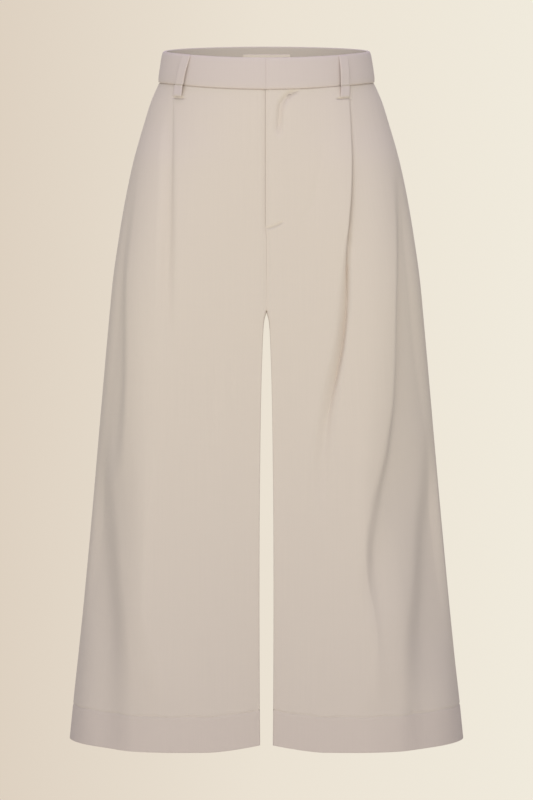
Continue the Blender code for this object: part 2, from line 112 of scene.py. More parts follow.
# How the cloth turns back towards the side seams. Columns: level, exponent of the body's oval (2 is
# an ellipse, more is squarer), and on a leg the share of the way out where the turn starts and the
# exponents of its start and of its end.
UPPER_SHAPE = (
    (0.0200, 2.00, 0.00, 2.00, 2.00),
    (-0.0200, 2.00, 0.00, 2.00, 2.00),
    (-0.0600, 2.20, 0.00, 2.20, 2.20),
    (-0.1200, 2.70, 0.00, 2.70, 2.70),
)
HEM_SHAPE = (
    (-0.7800, 2.80, 0.00, 1.85, 1.85),
    (-0.8200, 2.80, 0.00, 1.85, 1.85),
)
OUTER_SHAPES = {
    BACK: UPPER_SHAPE + (
        (-0.2200, 2.80, 0.00, 2.60, 2.60),
        (-0.4400, 2.80, 0.10, 2.10, 1.90),
        (-0.6500, 2.80, 0.10, 1.90, 1.70),
    ) + HEM_SHAPE,
    FRONT_LEFT: UPPER_SHAPE + (
        (-0.2200, 2.80, 0.00, 2.70, 2.70),
        (-0.3400, 2.80, 0.15, 2.20, 1.90),
        (-0.4400, 2.80, 0.20, 1.70, 1.42),
        (-0.5300, 2.80, 0.15, 1.50, 1.15),
        (-0.6000, 2.80, 0.17, 1.50, 1.17),
        (-0.6800, 2.80, 0.24, 1.50, 1.20),
        (-0.7200, 2.80, 0.20, 1.60, 1.36),
    ) + HEM_SHAPE,
    FRONT_RIGHT: UPPER_SHAPE + (
        (-0.2200, 2.80, 0.00, 2.90, 2.90),
        (-0.3400, 2.80, 0.15, 2.70, 2.40),
        (-0.4400, 2.80, 0.28, 2.20, 1.70),
        (-0.5300, 2.80, 0.38, 1.60, 1.40),
        (-0.6500, 2.80, 0.36, 1.50, 1.35),
        (-0.7200, 2.80, 0.18, 1.80, 1.55),
    ) + HEM_SHAPE,
}
# How the waist dips in front and rises behind. Columns: level, drop in front for each metre of
# depth, the same with the square of the share of the depth, rise behind for each metre of depth.
WAIST_DIP = (
    (0.0200, 0.090, 0.060, 0.133),
    (-0.0180, 0.055, 0.084, 0.133),
    (-0.0700, 0.050, 0.070, 0.112),
    (-0.1200, 0.030, 0.042, 0.066),
    (-0.1700, 0.009, 0.013, 0.021),
    (-0.2200, 0.000, 0.000, 0.000),
)
# Inner side of a leg. Columns: level, x of its edge, exponent of its corner, how far the front and
# back round off towards it, from 0 to 1, and how far the faces' edges overhang the inseam.
LEG_INNER = (
    (-0.2970, 0.0000, 60.0, 0.00, 0.0000),
    (-0.3080, 0.0038, 90.0, 0.10, 0.0010),
    (-0.3330, 0.0058, 160.0, 0.20, 0.0014),
    (-0.4060, 0.0081, 200.0, 0.25, 0.0016),
    (-0.4600, 0.0089, 200.0, 0.28, 0.0016),
    (-0.5600, 0.0098, 200.0, 0.30, 0.0016),
    (-0.6400, 0.0099, 200.0, 0.35, 0.0016),
    (-0.7500, 0.0096, 200.0, 0.42, 0.0016),
    (-0.8200, 0.0090, 200.0, 0.45, 0.0016),
)
CROWN_ROUND = 2.1  # exponent of that rounding
OVERHANG_REACH = 0.030
OVERHANG_BEHIND = 0.2  # the back's overhang, as a share of the front's

# How far the hem hangs higher at the side seam and at the inseam, and how far in that reaches.
HEM_LIFT_SIDE = 0.0026
HEM_LIFT_SIDE_REACH = 0.085
HEM_LIFT_INNER = 0.0075
HEM_LIFT_INNER_REACH = 0.060
HEM_LIFT_INNER_CURVE = 1.5
HEM_LIFT_FROM = -0.60

# One knife pleat in each front, folded towards the side. Columns: level, x of the folded edge,
# degrees that the cloth turns back through, width of the layer under it, height of the step.
PLEAT_OVER = 0.4, 0.0014, 0.00002  # its last three columns where it has run out
PLEAT_LEFT = (
    (-0.0182, 0.0978, 180, 0.0120, 0.0030),
    (-0.0350, 0.0983, 180, 0.0110, 0.0046),
    (-0.0700, 0.0998, 180, 0.0100, 0.0060),
    (-0.1080, 0.1010, 180, 0.0080, 0.0074),
    (-0.1475, 0.1003, 178, 0.0060, 0.0088),
    (-0.1860, 0.0978, 168, 0.0040, 0.0092),
    (-0.2230, 0.0950, 130, 0.0012, 0.0060),
    (-0.2480, 0.0944, 70, 0.0006, 0.0024),
    (-0.2720, 0.0945, 20, 0.0008, 0.0006),
    (-0.3000, 0.0936, *PLEAT_OVER),
    (-0.3340, 0.0904, *PLEAT_OVER),
    (-0.3700, 0.0836, *PLEAT_OVER),
    (-0.4200, 0.0735, *PLEAT_OVER),
    (-0.8200, 0.0620, *PLEAT_OVER),
)
PLEAT_RIGHT = (
    (-0.0182, 0.1110, 40, 0.0005, 0.0008),
    (-0.0400, 0.1110, 25, 0.0006, 0.0006),
    (-0.1300, 0.1115, 12, 0.0008, 0.0004),
    (-0.2110, 0.1120, 5, 0.0010, 0.0002),
    (-0.2600, 0.1160, *PLEAT_OVER),
    (-0.8200, 0.1180, *PLEAT_OVER),
)
PLEAT_SLOT = 0.75  # share of the step beyond the fold that levels out within the slot's reach
PLEAT_SLOT_REACH = 0.0045
PLEAT_REACH = 0.045  # how far the pleat's step takes to level out on each side
SIDE_FREE = 0.010  # folds fade out this near the side seam
PLUMB = 0.045  # x at which a panel's threads hang straight down

# Folds, as troughs that run down a panel; a depth below 0 is a ridge.
# Columns: level, x, reach towards the centre, reach towards the side, depth, and where there is a
# sixth, how sharp the fold's bottom is.
FOLDS_FRONT_LEFT = (
    (
        (-0.196, 0.0984, 0.003, 0.005, 0.0000, 0.7),
        (-0.222, 0.0962, 0.0050, 0.0040, 0.0042, 0.7),
        (-0.246, 0.0956, 0.0080, 0.0036, 0.0058, 0.5),
        (-0.283, 0.0948, 0.0115, 0.0036, 0.0078, 0.4),
        (-0.334, 0.0903, 0.0135, 0.0040, 0.0084, 0.4),
        (-0.370, 0.0834, 0.0155, 0.0050, 0.0078, 0.4),
        (-0.405, 0.0756, 0.0150, 0.0080, 0.0062, 0.3),
        (-0.466, 0.0668, 0.0130, 0.0120, 0.0032, 0.1),
        (-0.540, 0.0620, 0.0120, 0.0140, 0.0000, 0.0),
    ),
    (
        (-0.120, 0.158, 0.008, 0.014, 0.0000),
        (-0.161, 0.161, 0.009, 0.020, 0.0028),
        (-0.222, 0.165, 0.011, 0.032, 0.0088),
        (-0.283, 0.166, 0.013, 0.040, 0.0128),
        (-0.344, 0.166, 0.014, 0.046, 0.0146),
        (-0.405, 0.164, 0.015, 0.050, 0.0142),
        (-0.437, 0.160, 0.016, 0.052, 0.0126),
        (-0.466, 0.156, 0.017, 0.054, 0.0112),
        (-0.496, 0.149, 0.018, 0.056, 0.0100),
        (-0.527, 0.142, 0.019, 0.056, 0.0086),
        (-0.570, 0.135, 0.020, 0.056, 0.0072),
        (-0.615, 0.129, 0.020, 0.052, 0.0044),
        (-0.670, 0.122, 0.020, 0.046, 0.0000),
    ),
    (
        (-0.540, 0.134, 0.018, 0.026, 0.0000),
        (-0.600, 0.1345, 0.018, 0.030, 0.0040),
        (-0.660, 0.139, 0.019, 0.030, 0.0046),
        (-0.720, 0.144, 0.020, 0.026, 0.0022),
        (-0.780, 0.148, 0.020, 0.024, 0.0000),
    ),
    (
        (-0.430, 0.205, 0.012, 0.014, 0.0000),
        (-0.499, 0.204, 0.020, 0.020, 0.0056),
        (-0.558, 0.200, 0.024, 0.026, 0.0088),
        (-0.618, 0.198, 0.026, 0.030, 0.0096),
        (-0.677, 0.193, 0.028, 0.034, 0.0088),
        (-0.736, 0.190, 0.030, 0.034, 0.0060),
        (-0.820, 0.188, 0.030, 0.034, 0.0036),
    ),
)
FOLDS_FRONT_RIGHT = (
    (
        (-0.040, 0.1130, 0.006, 0.012, 0.0000),
        (-0.090, 0.1150, 0.008, 0.014, 0.0022),
        (-0.150, 0.1165, 0.010, 0.013, 0.0036),
        (-0.220, 0.1175, 0.012, 0.013, 0.0046),
        (-0.300, 0.1175, 0.012, 0.014, 0.0026),
        (-0.360, 0.1180, 0.010, 0.014, 0.0000),
    ),
    (
        (-0.120, 0.160, 0.008, 0.010, 0.0000),
        (-0.198, 0.171, 0.012, 0.012, 0.0026),
        (-0.258, 0.178, 0.013, 0.018, 0.0052),
        (-0.378, 0.181, 0.016, 0.024, 0.0068),
        (-0.438, 0.184, 0.016, 0.024, 0.0056),
        (-0.500, 0.188, 0.016, 0.020, 0.0000),
    ),
    (
        (-0.430, 0.206, 0.014, 0.012, 0.0000),
        (-0.499, 0.205, 0.024, 0.014, 0.0056),
        (-0.558, 0.203, 0.028, 0.018, 0.0088),
        (-0.618, 0.200, 0.030, 0.022, 0.0104),
        (-0.677, 0.196, 0.032, 0.026, 0.0104),
        (-0.736, 0.194, 0.034, 0.030, 0.0076),
        (-0.820, 0.194, 0.034, 0.030, 0.0050),
    ),
)
FOLDS_BACK_LEFT = (
    (
        (-0.250, 0.112, 0.026, 0.026, 0.0000),
        (-0.380, 0.116, 0.034, 0.034, 0.0070),
        (-0.560, 0.124, 0.040, 0.040, 0.0110),
        (-0.720, 0.133, 0.042, 0.042, 0.0100),
        (-0.820, 0.137, 0.042, 0.042, 0.0070),
    ),
    (
        (-0.330, 0.186, 0.016, 0.016, 0.0000),
        (-0.480, 0.190, 0.020, 0.020, 0.0070),
        (-0.650, 0.198, 0.024, 0.024, 0.0060),
        (-0.820, 0.206, 0.024, 0.024, 0.0020),
    ),
)
FOLDS_BACK_RIGHT = (
    (
        (-0.280, 0.096, 0.026, 0.026, 0.0000),
        (-0.420, 0.101, 0.034, 0.034, 0.0080),
        (-0.600, 0.110, 0.040, 0.040, 0.0120),
        (-0.740, 0.118, 0.042, 0.042, 0.0090),
        (-0.820, 0.121, 0.042, 0.042, 0.0060),
    ),
    (
        (-0.360, 0.184, 0.016, 0.016, 0.0000),
        (-0.500, 0.187, 0.022, 0.022, 0.0080),
        (-0.680, 0.194, 0.024, 0.024, 0.0060),
        (-0.820, 0.199, 0.024, 0.024, 0.0020),
    ),
)

# Small creases along lines of (x, level). Columns: line, half width, depth.
FLY_STITCHES = (
    (0.0430, -0.0186), (0.0380, -0.0200), (0.0310, -0.0218), (0.0268, -0.0248), (0.0216, -0.0296),
    (0.0177, -0.0355), (0.0162, -0.0430), (0.0156, -0.0540), (0.0148, -0.0660), (0.0138, -0.0800),
)
FLY_TACK = (
    (-0.0020, -0.1964), (0.0040, -0.1958), (0.0081, -0.1943), (0.0140, -0.1918), (0.0215, -0.1868),
)
CREASES_FRONT_LEFT = (
    (FLY_STITCHES, 0.0072, 0.0048),
    (FLY_TACK, 0.0026, 0.0028),
    (((-0.0010, -0.2374), (0.0035, -0.2400), (0.0075, -0.2468)), 0.0018, 0.0006),
    (((0.0662, -0.0800), (0.0660, -0.1000), (0.0554, -0.1605), (0.0400, -0.2052)), 0.0070, 0.0005),
    (((0.1700, -0.7640), (0.1740, -0.7690), (0.1785, -0.7770), (0.1814, -0.7860)), 0.0026, 0.0018),
    (((0.0820, -0.0338), (0.0870, -0.0334), (0.0940, -0.0334), (0.1035, -0.0340)), 0.0019, 0.0034),
)
CREASES_FRONT_RIGHT = (
    (((0.0965, -0.0338), (0.1010, -0.0334), (0.1070, -0.0334), (0.1150, -0.0340)), 0.0019, 0.0026),
    (((0.0605, -0.3400), (0.0628, -0.4006), (0.0606, -0.4835)), 0.0080, 0.0006),
    (((0.0432, -0.3400), (0.0404, -0.4200)), 0.0070, 0.0005),
)

# ---- how finely the cloth is cut
BEND_STEPS = 8
UNDER_STEPS = 3
INNER_STEPS = 50
OUTER_STEPS = 46
FINE_STEPS = 1200  # trial columns, closer together where they start
FINE_FROM = 0.025
FINE_CURVE = 5
FLAT_FACE = 0.010  # a leg's flat inner face counts as no more than this, and gets few columns
TURN_WEIGHT = 0.03  # metres of cloth that a turn of one radian counts as
CROTCH_ROWS = 26
JOIN_HEIGHT = 0.060  # above the crotch a leg's inner columns spread out within this
INSEAM_ROWS = 12
INSEAM_START = 0.030  # the rows below the crotch are close down to here
LAST_LEVEL = -0.8180
HEM_TURN_STEPS = 8
BAND_COLUMNS = 64
LOOP_ROWS = 40
OUTLINE_BEND_STEPS = 4
BAND_OUTLINE_STEPS = 14, 6  # up the outer face and down the inner one
LOOP_OUTLINE_STEPS = 10, 6
FLY_SHIELD_GRID = 50, 27
LABEL_GRID = 22, 61
# Evenly spaced rows above and below the crotch. Columns: from, to, about how far apart.
ROWS_ABOVE = (
    (PANEL_TOP, -0.0210, 0.0003),
    (-0.0210, -0.0360, 0.0008),
    (-0.0360, -0.1850, 0.0030),
    (-0.1850, -0.2050, 0.0014),
    (-0.2050, CROTCH + JOIN_HEIGHT, 0.0030),
)
ROWS_BELOW = (
    (CROTCH - INSEAM_START, -0.7700, 0.0056),
    (-0.7700, -0.7840, 0.0010),
    (-0.7840, LAST_LEVEL, 0.0034),
)
# Columns, as shares of the way along the cloth: from the centre seam or inseam, and from the pleat.
EDGE_SHARES = np.array([0, 0.004, 0.010, 0.018, 0.028, 0.040])
FROM_EDGE = np.concatenate([EDGE_SHARES, np.linspace(0.055, 1, INNER_STEPS, endpoint=False)])
FROM_PLEAT = np.concatenate([EDGE_SHARES, np.linspace(0.047, 0.145, 15)])
TO_EDGE = np.concatenate([np.linspace(0, 0.85, OUTER_STEPS, endpoint=False), 1 - FROM_PLEAT[::-1]])[1:]

# The steps over which the slope of the cloth is measured.
SLOPE_ACROSS = 0.0015
SLOPE_DOWN = 0.00001


# ---------------- reading the tables


def smooth(value, start, end):
    """0 before start, 1 after end, and an even S between them."""
    t = np.clip((value - start) / (end - start), 0, 1)
    return t * t * (3 - 2 * t)


def read(table, column, level):
    """A column of a table at any levels, on a smooth curve through its rows that never overshoots."""
    rows = np.array(table)
    downs, values = -rows[:, 0], rows[:, column]
    steps = np.diff(values) / np.diff(downs)
    same_way = steps[:-1] * steps[1:] > 0
    total = np.where(same_way, steps[:-1] + steps[1:], 1)
    middle = np.where(same_way, 2 * steps[:-1] * steps[1:] / total, 0)
    slopes = np.concatenate([steps[:1], middle, steps[-1:]])
    down = np.clip(-np.asarray(level, float), downs[0], downs[-1])
    i = np.clip(np.searchsorted(downs, down, side="right") - 1, 0, len(downs) - 2)
    width = downs[i + 1] - downs[i]
    t = (down - downs[i]) / width
    return (
        (1 + 2 * t) * (1 - t) ** 2 * values[i]
        + t * (1 - t) ** 2 * width * slopes[i]
        + t * t * (3 - 2 * t) * values[i + 1]
        + t * t * (t - 1) * width * slopes[i + 1]
    )


# ---------------- the surface of the cloth


def section(column, level):
    """A column of the waistband's sections or, below the waist seam, of the panels'."""
    level = np.asarray(level, float)
    band, panel = read(BAND_SECTIONS, column, level), read(PANEL_SECTIONS, column, level)
    return np.where(level >= WAIST_SEAM, band, panel)


def inner_edge(level):
    """x of the centre seam, and below the crotch of the inseam."""
    return read(LEG_INNER, 1, level)


def leg_edge(level, front):
    """x where a leg's outline would end: past the middle above the crotch, where the legs join."""
    up = np.maximum(level - CROTCH, 0)
    return inner_edge(level) - up * (JOIN_SLOPE + (JOIN_FRONT if front else JOIN_BACK) * up)


def rounded(share, exponent):
    """A quarter of a superellipse: 1 at share 0 and 0 at share 1."""
    return (1 - np.clip(share, 0, 1) ** exponent) ** (1 / exponent)


def depth(x, level, front):
    """How far the outer face is in front of the side seams, or behind them."""
    half = section(1, level)
    centre = LEG_CENTRE * half
    lobes = 1 - smooth(level, LOBES_FULL, LOBES_FROM)
    body, start, first, last = (read(OUTER_SHAPES[front], column, level) for column in (1, 2, 3, 4))
    turned = np.clip(((x - centre) / (half - centre) - start) / (1 - start), 0, 1)
    outer = (1 - lobes) * rounded(x / half, body) + lobes * (1 - turned**first) ** (1 / last)
    share = (centre - x) / (centre - leg_edge(level, front))
    corner, crown = read(LEG_INNER, 2, level), read(LEG_INNER, 3, level)
    inner = rounded(share, corner) * rounded(share * crown, CROWN_ROUND)
    return section(2 if front else 3, level) * outer * inner


def bare_points(x, level, front):
    """Points of the outer face before its folds, for x of 0 or more."""
    deep = depth(x, level, front)
    if front:
        y = -deep
        dip = read(WAIST_DIP, 1, level) + read(WAIST_DIP, 2, level) * deep / section(2, level)
    else:
        y = deep
        dip = -read(WAIST_DIP, 3, level)
    lift = HEM_LIFT_SIDE * (1 - smooth(section(1, level) - x, 0, HEM_LIFT_SIDE_REACH))
    from_inseam = np.clip((x - inner_edge(level)) / HEM_LIFT_INNER_REACH, 0, 1)
    lift = lift + HEM_LIFT_INNER * (1 - from_inseam) ** HEM_LIFT_INNER_CURVE
    lift = lift * smooth(-level, -HEM_LIFT_FROM, -HEM_TURN)
    over = read(LEG_INNER, 4, level) * (1 - smooth(x - inner_edge(level), 0, OVERHANG_REACH))
    over = over * (1 if front else OVERHANG_BEHIND)
    over_x = x - over * deep / section(2 if front else 3, level)
    return np.stack(np.broadcast_arrays(over_x, y, level - dip * deep + lift), axis=-1)


def outward(x, level, front):
    """The directions out of the cloth, from its slope along the level and down its columns."""
    inner, half = inner_edge(level), section(1, level)
    low = bare_points(np.maximum(x - SLOPE_ACROSS, inner), level, front)
    high = bare_points(np.minimum(x + SLOPE_ACROSS, half), level, front)
    share = (x - inner) / (half - inner)
    last_row = (level <= HEM) | (np.abs(level - WAIST_SEAM) < SLOPE_DOWN)
    way = np.where(last_row, 1.0, -1.0)
    near = level + SLOPE_DOWN * way
    near_x = inner_edge(near) + share * (section(1, near) - inner_edge(near))
    down = (bare_points(near_x, near, front) - bare_points(x, level, front)) * -way[..., None]
    out = np.cross(down, high - low) if front else np.cross(high - low, down)
    return out / np.linalg.norm(out, axis=-1, keepdims=True)


def cloth_points(x, level, out, front, side=1):
    """Points at a distance out of the bare face, on the wearer's left (1) or right (-1)."""
    x, level, out = np.broadcast_arrays(x, level, out)
    x = np.clip(x, inner_edge(level), section(1, level))
    points = bare_points(x, level, front) + outward(x, level, front) * out[..., None]
    return points * (side, 1, 1)


def centred_points(x, level, out, front):
    """Points on both sides of the centre seam; x below 0 is on the wearer's right."""
    points = cloth_points(np.abs(x), level, out, front)
    points[..., 0] *= np.sign(x)
    return points


def trough(x, level, folds):
    """How far a panel's folds take the cloth in."""
    total = np.zeros(np.broadcast(x, level).shape)
    for fold in folds:
        there = (level <= fold[0][0]) & (level >= fold[-1][0])
        away = x - read(fold, 1, level)
        reach = np.where(away < 0, read(fold, 2, level), read(fold, 3, level))
        sharp = read(fold, 5, level) if len(fold[0]) > 5 else 0.0
        across = 1 - smooth(np.abs(away) / reach, -sharp, 1)
        total += there * read(fold, 4, level) * across / (1 - smooth(0.0, -sharp, 1))
    return total * smooth(section(1, level) - x, 0, SIDE_FREE)


def crease(x, level, line, half_width, deep):
    """How far a small crease along a line takes the cloth in, fading out at both its ends."""
    shape = np.broadcast(x, level).shape
    best, at = np.full(shape, np.inf), np.zeros(shape)
    lengths = [math.dist(a, b) for a, b in zip(line, line[1:])]
    before = 0.0
    for (ax, al), (bx, bl), length in zip(line, line[1:], lengths):
        t = np.clip(((x - ax) * (bx - ax) + (level - al) * (bl - al)) / length**2, 0, 1)
        away = np.hypot(x - ax - t * (bx - ax), level - al - t * (bl - al))
        closer = away < best
        best = np.where(closer, away, best)
        at = np.where(closer, before + t * length, at)
        before += length
    share = at / before
    fade = smooth(share, 0, 0.2) * (1 - smooth(share, 0.7, 1))
    return deep * fade * (1 - np.minimum(best / half_width, 1)) ** 2


# ---------------- making meshes


def set_cloth_place(mesh, places):
    """Each point's place on the flat cloth, across and along the threads, for the weave."""
    attribute = mesh.attributes.new("cloth", "FLOAT_VECTOR", "POINT")
    flat = np.zeros((len(places), 3), np.float32)
    flat[:, :2] = places
    attribute.data.foreach_set("vector", flat.ravel())


def make_mesh(name, points, faces, places, material):
    """A smooth mesh in the scene."""
    mesh = bpy.data.meshes.new(name)
    mesh.from_pydata(points.reshape(-1, 3).tolist(), [], faces)
    mesh.validate()
    set_cloth_place(mesh, places.reshape(-1, 2))
    mesh.materials.append(material)
    mesh.shade_smooth()
    piece = bpy.data.objects.new(name, mesh)
    bpy.context.scene.collection.objects.link(piece)
    return piece


def grid_faces(rows, columns, flip, closed=False):
    """Squares of a grid of points; closed joins its last column to its first."""
    number = np.arange(rows * columns).reshape(rows, columns)
    if closed:
        number = np.concatenate([number, number[:, :1]], axis=1)
    a, b, c, d = number[:-1, :-1], number[1:, :-1], number[1:, 1:], number[:-1, 1:]
    order = (a, d, c, b) if flip else (a, b, c, d)
    return np.stack(order, axis=-1).reshape(-1, 4).tolist()


def make_sheet(name, points, places, thickness, material, flip):
    """A thin sheet through a grid of points on its outer face, thickened inwards."""
    faces = grid_faces(*points.shape[:2], flip)
    piece = make_mesh(name, points, faces, places, material)
    thicken = piece.modifiers.new("thickness", "SOLIDIFY")
    thicken.thickness = thickness
    thicken.offset = -1
    return piece


def make_bar(name, rings, places, material, flip):
    """A closed piece through rings of points, with a flat face at both ends."""
    rows, columns = rings.shape[:2]
    faces = grid_faces(rows, columns, flip, closed=True)
    first, last = list(range(columns)), list(range((rows - 1) * columns, rows * columns))
    ends = [first[::-1], last] if flip else [first, last[::-1]]
    return make_mesh(name, rings, faces + ends, places, material)


def finish_piece(piece, name):
    """Lets a piece ride the body in its CAD node's place, and hides that node."""
    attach(piece, BODY)
    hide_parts(name)


def rounded_outline(half_high, half_thick, radius, steps):
    """(along, out) round a bar's section: along its outer face, round its edge and back inside."""
    bend = np.linspace(0, math.pi / 2, OUTLINE_BEND_STEPS + 1)
    flat_high, flat_thick = half_high - radius, half_thick - radius
    parts = []
    for way, face_steps in zip((1, -1), steps):
        face = np.linspace(-flat_high * way, flat_high * way, face_steps + 1)
        parts.append(np.stack([face, np.full_like(face, half_thick * way)], axis=1))
        for thick, angle in ((way, bend[1:]), (-way, bend[-2:0:-1])):
            along = way * (flat_high + radius * np.sin(angle))
            out = thick * (flat_thick + radius * np.cos(angle))
            parts.append(np.stack([along, out], axis=1))
    return np.concatenate(parts)


# ---------------- leg panels


def spaced(start, end, step):
    """Levels from start down to just above end, about a step apart."""
    count = max(1, round((start - end) / step))
    return start + (end - start) * np.arange(count) / count


def panel_levels():
    """Close rows at the waist seam, the fly's end, the crotch and the hem, longer ones between."""
    angle = np.linspace(math.pi / 2, 0, CROTCH_ROWS, endpoint=False)
    below = np.linspace(0, 1, INSEAM_ROWS, endpoint=False)
    return np.concatenate([
        *(spaced(*rows) for rows in ROWS_ABOVE),
        CROTCH + JOIN_HEIGHT * (1 - np.cos(angle)),
        CROTCH - INSEAM_START * below**2,
        *(spaced(*rows) for rows in ROWS_BELOW),
        (LAST_LEVEL, HEM + HEM_BEND),
    ])[:, None]


def even_columns(level, start, end, front, shares):
    """x at shares of the way along the cloth from start to end, closer together where it turns."""
    fine = start + (end - start) * np.append(0, np.linspace(FINE_FROM, 1, FINE_STEPS)) ** FINE_CURVE
    across, deep = np.diff(fine, axis=1), np.diff(depth(fine, level, front), axis=1)
    run = np.hypot(across, deep)
    run[:, 0] = np.minimum(run[:, 0], FLAT_FACE)
    run[:, 1:] += TURN_WEIGHT * np.abs(np.diff(np.arctan2(deep, np.abs(across)), axis=1))
    run = np.concatenate([np.zeros((len(run), 1)), np.cumsum(run, axis=1)], axis=1)
    return np.array([np.interp(shares, r / r[-1], x) for r, x in zip(run, fine)])


def inner_columns(level, end, front):
    """x from the centre seam or inseam out to just before a column.

    Above the crotch the columns of a leg's inner side spread out over the body.
    """
    start = inner_edge(level)
    on_leg = even_columns(np.minimum(level, CROTCH), start, end, front, FROM_EDGE)
    spread = smooth(level, CROTCH, CROTCH + JOIN_HEIGHT)
    return on_leg + (start + (end - start) * FROM_EDGE - on_leg) * spread


def outer_columns(level, start, front):
    """x from just after a column out to the side seam."""
    return even_columns(level, section(1, level), start, front, 1 - TO_EDGE)


def pleat_path(pleat, level):
    """(x, out) through the pleat: a bend back, the layer under the fold, and a bend forward."""
    edge, degrees, under, step = (read(pleat, column, level) for column in (1, 2, 3, 4))
    turn = np.radians(degrees)
    radius = (step - under * np.sin(turn)) / (2 * (1 - np.cos(turn)))
    start = edge - radius * np.sin(np.minimum(turn, math.pi / 2))
    angle = turn * np.linspace(0, 1, BEND_STEPS + 1)
    back_x, back_out = start + radius * np.sin(angle), step / 2 - radius * (1 - np.cos(angle))
    end = back_x[:, -1:] + under * np.cos(turn) + radius * np.sin(turn)
    forward_x = end - radius * np.sin(angle[:, ::-1])
    forward_out = radius * (1 - np.cos(angle[:, ::-1])) - step / 2
    between = np.arange(1, UNDER_STEPS + 1) / (UNDER_STEPS + 1)
    under_x = back_x[:, -1:] + (forward_x[:, :1] - back_x[:, -1:]) * between
    under_out = back_out[:, -1:] + (forward_out[:, :1] - back_out[:, -1:]) * between
    return (
        np.concatenate([back_x, under_x, forward_x], axis=1),
        np.concatenate([back_out, under_out, forward_out], axis=1),
    )


def front_columns(level, pleat, front):
    """(x, out) across a front, from its inner seam to its side seam."""
    path_x, path_out = pleat_path(pleat, level)
    start, end = path_x[:, :1], path_x[:, -1:]
    inner, outer = inner_columns(level, start, front), outer_columns(level, end, front)
    raised = path_out[:, :1] * (1 - smooth(start - inner, 0, PLEAT_REACH))
    rim = path_x.max(axis=1, keepdims=True)
    slot = PLEAT_SLOT * smooth(outer - rim, 0, PLEAT_SLOT_REACH)
    lowered = path_out[:, -1:] * (1 - slot - (1 - PLEAT_SLOT) * smooth(outer - rim, 0, PLEAT_REACH))
    return (
        np.concatenate([inner, path_x, outer], axis=1),
        np.concatenate([raised, path_out, lowered], axis=1),
    )


def back_columns(level):
    """(x, out) across a back, from its inner seam to its side seam."""
    centre = LEG_CENTRE * section(1, level)
    inner, outer = inner_columns(level, centre, BACK), outer_columns(level, centre, BACK)
    x = np.concatenate([inner, centre, outer], axis=1)
    return x, np.zeros_like(x)


def arc_lengths(points):
    """Lengths along each row of a grid of points, from its first column."""
    steps = np.linalg.norm(np.diff(points, axis=1), axis=-1)
    return np.concatenate([np.zeros((len(points), 1)), np.cumsum(steps, axis=1)], axis=1)


# How a panel's cloth turns in at a seam: a narrow tuck with a soft hollow beside it.
TUCK_DEEP, TUCK_REACH = 0.0003, 0.0015
HOLLOW_DEEP, HOLLOW_REACH = 0.0012, 0.006
SEAM_FADE = 0.004  # the centre seam's tuck fades out over this height at the crotch


def seam(away):
    """How far the cloth turns in at this distance from a seam."""
    tuck = TUCK_DEEP * (1 - smooth(away, 0, TUCK_REACH))
    return tuck + HOLLOW_DEEP * (1 - smooth(away, 0, HOLLOW_REACH))


FLY_LIFT, FLY_LIFT_REACH = 0.0002, 0.022  # how far the lapping edge of the fly stands out
FLY_LAP, FLY_LAP_REACH = 0.0011, 0.008  # how far it lies over the other side
FLY_DROP, FLY_DROP_REACH = 0.0010, 0.009  # how far the edge under it drops
FLY_FADE = 0.010  # the lap ends within this height


def lap_fly(x, level, side):
    """(shift of x, way in) that laps the left front's edge over the right's down to the fly's end."""
    closed = smooth(level, FLY_END - FLY_FADE, FLY_END)
    if side > 0:
        shift = -FLY_LAP * closed * (1 - smooth(x, 0, FLY_LAP_REACH))
        rise = FLY_LIFT * closed * (1 - smooth(x, 0, FLY_LIFT_REACH))
        return shift, -rise
    return 0 * x, FLY_DROP * closed * (1 - smooth(x, 0, FLY_DROP_REACH))


HEM_LINE = -0.7775  # where the hem is stitched up
HEM_LINE_REACH = 0.0021
HEM_LINE_DEEP = 0.0008
HEM_LINE_UNEVEN = 0.35  # how much its depth varies, as a share
HEM_LINE_WAVER = 0.0006  # how far it strays up and down


def wave(along, length, start=0):
    """A sine wave of this length, in metres, from this angle."""
    return np.sin(along * 2 * math.pi / length + start)


def hem_line(level, across):
    """The shallow line of the hem's blind stitches, pulled in a little unevenly."""
    uneven = 1 + HEM_LINE_UNEVEN * wave(across, 0.021) * wave(across, 0.033, 1)
    away = np.abs(level - HEM_LINE - HEM_LINE_WAVER * wave(across, 0.047, 0.6))
    return HEM_LINE_DEEP * uneven * (1 - smooth(away, 0, HEM_LINE_REACH))


def hem_bend(x, level, out):
    """More rows that take the cloth round the fold at the hem and up inside."""
    angle = np.linspace(0, math.pi, HEM_TURN_STEPS + 1)[1:, None]
    more = (
        np.repeat(x[-1:], HEM_TURN_STEPS, axis=0),
        HEM + HEM_BEND * (1 - np.sin(angle)) + 0 * x[-1:],
        out[-1:] - HEM_BEND * (1 - np.cos(angle)),
    )
    return [np.concatenate(pair) for pair in zip((x, level, out), more)]


